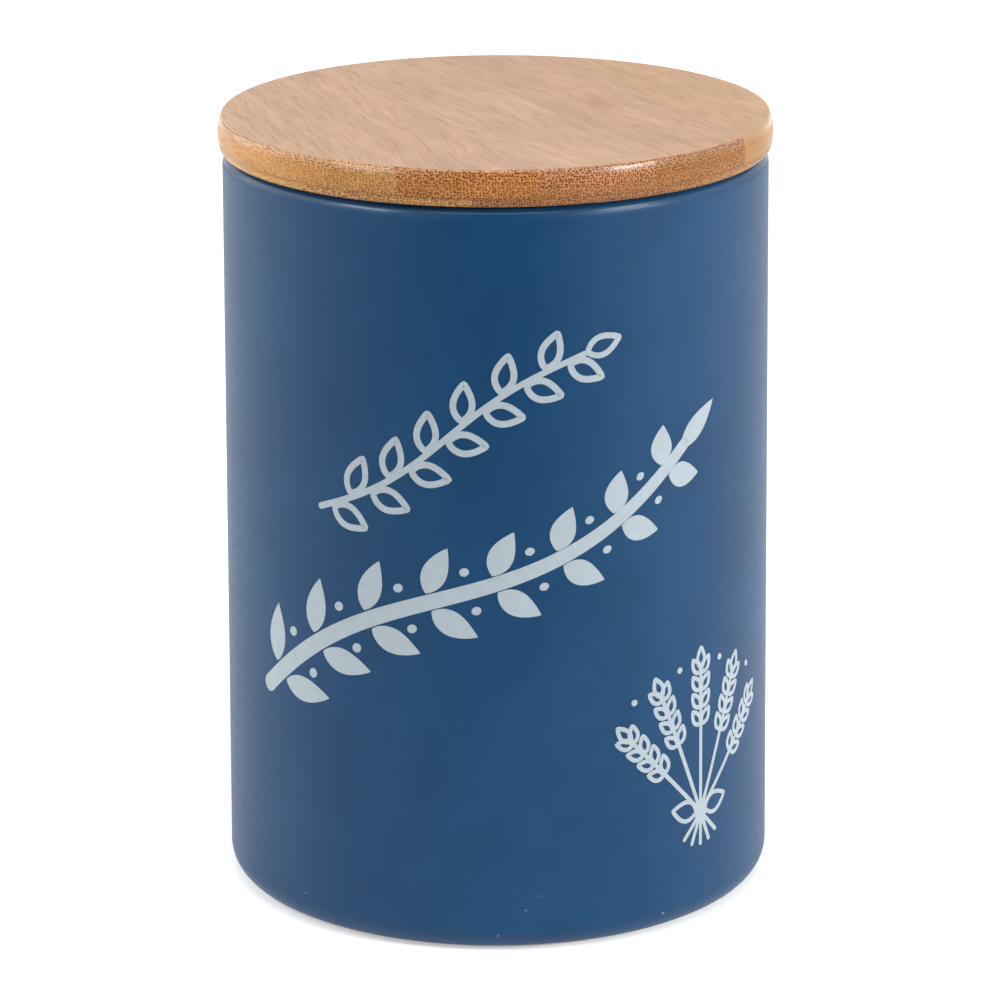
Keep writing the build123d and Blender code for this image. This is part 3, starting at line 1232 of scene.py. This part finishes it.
@dataclass
class LidSeal:
    """The lipped silicone seal in the plug's groove."""

    silicone: SealSilicone = SealSilicone()

    def build(self) -> None:
        """Dresses the seal."""
        dress("seal_ring", self.silicone.material())


# ---------------------------------------------------------------------------------------------------
# Studio


@dataclass(frozen=True)
class Softbox:
    """One rectangular studio light that faces the jar.

    Angles are in degrees, with azimuth 0 in front of the jar and 90 on the right as seen from there,
    sizes in metres and power in watts.
    """

    name: str
    azimuth: float
    elevation: float
    distance: float
    width: float
    height: float
    power: float

    def build(self, target: Vector) -> None:
        """Hangs the light.

        Args:
            target: Point that the light faces.
        """
        lamp = bpy.data.lights.new(self.name, "AREA")
        lamp.shape = "RECTANGLE"
        lamp.size, lamp.size_y, lamp.energy = self.width, self.height, self.power
        turn, rise = math.radians(self.azimuth), math.radians(self.elevation)
        away = Vector((math.sin(turn) * math.cos(rise), -math.cos(turn) * math.cos(rise), math.sin(rise)))
        light = bpy.data.objects.new(self.name, lamp)
        light.location = target + away * self.distance
        light.rotation_euler = away.to_track_quat("Z", "Y").to_euler()
        bpy.context.scene.collection.objects.link(light)


@dataclass
class Studio:
    """Pale floor, white surroundings, seven soft lights, a black card and the camera.

    Sizes are in metres. The card, or flag, lies on the floor from flag_near to flag_far in front of the
    jar's axis and stands up from there. Each lift is how much light of its own the floor gives to what
    sees it, where 1 alone is white.
    """

    floor_side: float = 4.0
    floor_hex: str = "#F4F4F3"
    floor_lift: float = 0.36
    mirror_lift: float = 0.14
    far_lift: float = 0.80
    near_reach: float = 0.4
    far_reach: float = 1.1
    ambient: float = 0.32
    target_height: float = 0.075
    camera_distance: float = 0.94749
    camera_elevation: float = math.radians(16.532)
    camera_roll: float = 0.00407
    camera_sight: float = 20.0
    lens_mm: float = 176.6
    sensor_mm: float = 36.0
    frame_shift: tuple[float, float] = (0.0031, -0.00995)
    softboxes: tuple[Softbox, ...] = (
        Softbox("spot_left", -56.0, 21.0, 1.0, 0.40, 0.14, 1.2),
        Softbox("spot_right", 57.0, 22.0, 1.0, 0.29, 0.14, 5.4),
        Softbox("key_left", -62.0, 40.0, 1.0, 0.38, 0.16, 2.3),
        Softbox("key_right", 62.0, 40.0, 1.0, 0.34, 0.14, 1.9),
        Softbox("side_left", -105.0, 20.0, 1.0, 1.00, 1.00, 3.9),
        Softbox("side_right", 90.0, 20.0, 1.0, 0.90, 1.00, 1.35),
        Softbox("overhead", 0.0, 74.0, 2.0, 1.50, 1.50, 15.5),
    )
    flag_near: float = 0.28
    flag_far: float = 1.20
    flag_half_width: float = 0.37
    flag_height: float = 1.25
    flag_clearance: float = 0.001
    flag_hex: str = "#101010"

    def seen_directly(self, tree: Tree) -> Any:
        """Tells whether a ray comes from the camera, a reflection or a transmission.

        Args:
            tree: Node tree of the floor or of the world.

        Returns:
            One for such a ray, and zero for light on the object.
        """
        path = tree.nodes.new("ShaderNodeLightPath").outputs
        seen = add_node(tree, MATH, {0: path["Is Camera Ray"], 1: path["Is Glossy Ray"]},
                        operation="MAXIMUM")
        return add_node(tree, MATH, {0: seen, 1: path["Is Transmission Ray"]}, operation="MAXIMUM")

    def surroundings(self) -> None:
        """Makes the world: white where it is seen or mirrored, and a plain soft light elsewhere."""
        world = bpy.data.worlds.new("white_studio")
        bpy.context.scene.world = world
        world.use_nodes = True
        tree = world.node_tree
        tree.nodes.clear()
        light = add_node(tree, "ShaderNodeBackground", {"Color": (1, 1, 1, 1), "Strength": self.ambient})
        white = add_node(tree, "ShaderNodeBackground", {"Color": (1, 1, 1, 1), "Strength": 1.0})
        mixed = add_node(tree, "ShaderNodeMixShader", {0: self.seen_directly(tree), 1: light, 2: white})
        add_node(tree, "ShaderNodeOutputWorld", {"Surface": mixed})

    def floor(self) -> None:
        """Lays the floor, lifted to white where it is seen and more where it is mirrored.

        The jar's shadow on it is kept.
        """
        half = self.floor_side / 2
        mesh = bpy.data.meshes.new("floor")
        corners = [(-half, -half, 0), (half, -half, 0), (half, half, 0), (-half, half, 0)]
        mesh.from_pydata(corners, [], [(0, 1, 2, 3)])
        material, tree = new_material("paper_white_sweep")
        paper = add_node(tree, "ShaderNodeBsdfPrincipled",
                         {"Base Color": linear(self.floor_hex), "Roughness": 0.9,
                          "Specular IOR Level": 0.1})
        place = add_node(tree, "ShaderNodeTexCoord", out="Object")
        away = add_node(tree, VECTOR_MATH, {0: place}, out="Value", operation="LENGTH")
        lift = add_node(tree, MAP_RANGE, {0: away, 1: self.near_reach, 2: self.far_reach, 3: self.floor_lift,
                                          4: self.far_lift}, interpolation_type="SMOOTHSTEP")
        lift = add_node(tree, MATH, {0: lift, 1: self.under_flag(tree, place)}, operation="MAXIMUM")
        mirrored = add_node(tree, "ShaderNodeLightPath", out="Is Glossy Ray")
        lift = add_node(tree, MATH, {0: mirrored, 1: self.mirror_lift, 2: lift}, operation="MULTIPLY_ADD")
        lift = add_node(tree, MATH, {0: self.seen_directly(tree), 1: lift}, operation="MULTIPLY")
        glow = add_node(tree, "ShaderNodeEmission", {"Color": (1, 1, 1, 1), "Strength": lift})
        both = add_node(tree, "ShaderNodeAddShader", {0: paper, 1: glow})
        add_node(tree, "ShaderNodeOutputMaterial", {"Surface": both})
        mesh.materials.append(material)
        floor = bpy.data.objects.new("floor", mesh)
        bpy.context.scene.collection.objects.link(floor)

    def under_flag(self, tree: Tree, place: Any) -> Any:
        """Marks the floor that the black card keeps the lights from, so that it can be lifted to white.

        Args:
            tree: The floor's node tree.
            place: Position on the floor in metres.

        Returns:
            One under and behind the card, and zero elsewhere.
        """
        aside = add_node(tree, "ShaderNodeSeparateXYZ", {0: place}, "X")
        aside = add_node(tree, MATH, {0: aside}, operation="ABSOLUTE")
        narrow = add_node(tree, MATH, {0: aside, 1: self.flag_half_width}, operation="LESS_THAN")
        front = add_node(tree, "ShaderNodeSeparateXYZ", {0: place}, "Y")
        front = add_node(tree, MATH, {0: front, 1: -self.flag_near}, operation="LESS_THAN")
        return add_node(tree, MATH, {0: narrow, 1: front}, operation="MULTIPLY")

    def flag(self) -> None:
        """Sets a black card on the floor and behind the camera, so that the jar's front mirrors dark."""
        rows = ((-self.flag_near, self.flag_clearance), (-self.flag_far, self.flag_clearance),
                (-self.flag_far, self.flag_height))
        mesh = bpy.data.meshes.new("flag")
        mesh.from_pydata([(side * self.flag_half_width, y, z) for y, z in rows for side in (-1, 1)], [],
                         [(2, 3, 1, 0), (4, 5, 3, 2)])
        material, tree = new_material("black_velvet_card")
        velvet = add_node(tree, "ShaderNodeBsdfDiffuse", {"Color": linear(self.flag_hex)})
        add_node(tree, "ShaderNodeOutputMaterial", {"Surface": velvet})
        mesh.materials.append(material)
        flag = bpy.data.objects.new("flag", mesh)
        flag.visible_camera = False
        bpy.context.scene.collection.objects.link(flag)

    def camera(self) -> None:
        """Sets up the camera in front of the jar and a little above it."""
        data = bpy.data.cameras.new("camera")
        data.lens, data.sensor_width = self.lens_mm, self.sensor_mm
        data.shift_x, data.shift_y = self.frame_shift
        data.clip_end = self.camera_sight
        rise = self.camera_elevation
        away = Vector((0.0, -math.cos(rise), math.sin(rise)))
        target = Vector((0.0, 0.0, self.target_height))
        place = Matrix.Translation(target + away * self.camera_distance)
        roll = Matrix.Rotation(-self.camera_roll, 4, "Z")
        camera = bpy.data.objects.new("camera", data)
        camera.matrix_world = place @ away.to_track_quat("Z", "Y").to_matrix().to_4x4() @ roll
        bpy.context.scene.collection.objects.link(camera)
        bpy.context.scene.camera = camera

    def build(self) -> None:
        """Builds the whole studio."""
        bpy.context.scene.view_settings.view_transform = "Standard"
        self.camera()
        self.surroundings()
        self.floor()
        self.flag()
        for softbox in self.softboxes:
            softbox.build(Vector((0.0, 0.0, self.target_height)))


def main() -> None:
    """Builds the studio and dresses the jar, its seal and its lid."""
    logging.basicConfig(level=logging.INFO, format="%(name)s: %(message)s")
    Studio().build()
    StonewareJar().build()
    LidSeal().build()
    BambooLid().build()


if __name__ == "__main__":
    main()
